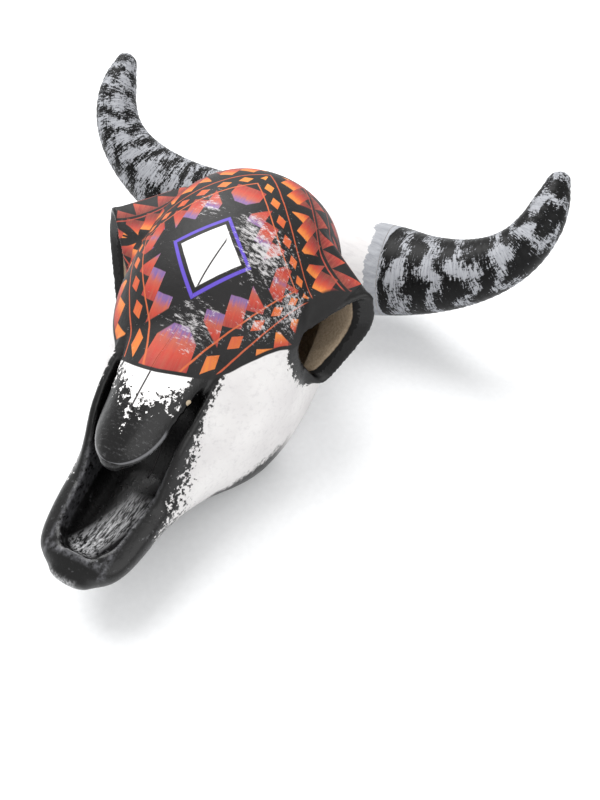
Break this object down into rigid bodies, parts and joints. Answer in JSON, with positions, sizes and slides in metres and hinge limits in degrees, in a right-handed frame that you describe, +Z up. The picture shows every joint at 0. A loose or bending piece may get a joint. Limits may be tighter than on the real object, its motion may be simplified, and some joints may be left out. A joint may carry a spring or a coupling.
{
  "type": "painted longhorn skull",
  "caption": "Hollow cast ceramic cattle skull ornament with an arched forehead, flared eye sockets, an open nasal trough under a tapered nasal bone, and two horns that curve up and back.",
  "frame": {"origin": "on the table, under the middle of the whole ornament", "axes": "+X to the skull's left-to-right across the horns, nose towards -Y, +Z up"},
  "size_m": [0.348, 0.328, 0.1495],
  "materials": {
    "forehead_paint": "matte charcoal paint with coloured bands over fired clay",
    "jaw_paint": "matte off-white paint, black at the muzzle",
    "nasal_paint": "satin black paint",
    "horn_paint": "satin black paint with dry-brushed grey strokes"
  },
  "bodies": {
    "root": {"cranium": "forehead_paint", "upper_jaw": "jaw_paint", "nasal_bone": "nasal_paint", "horn_left": "horn_paint", "horn_right": "horn_paint"}
  },
  "joints": []
}
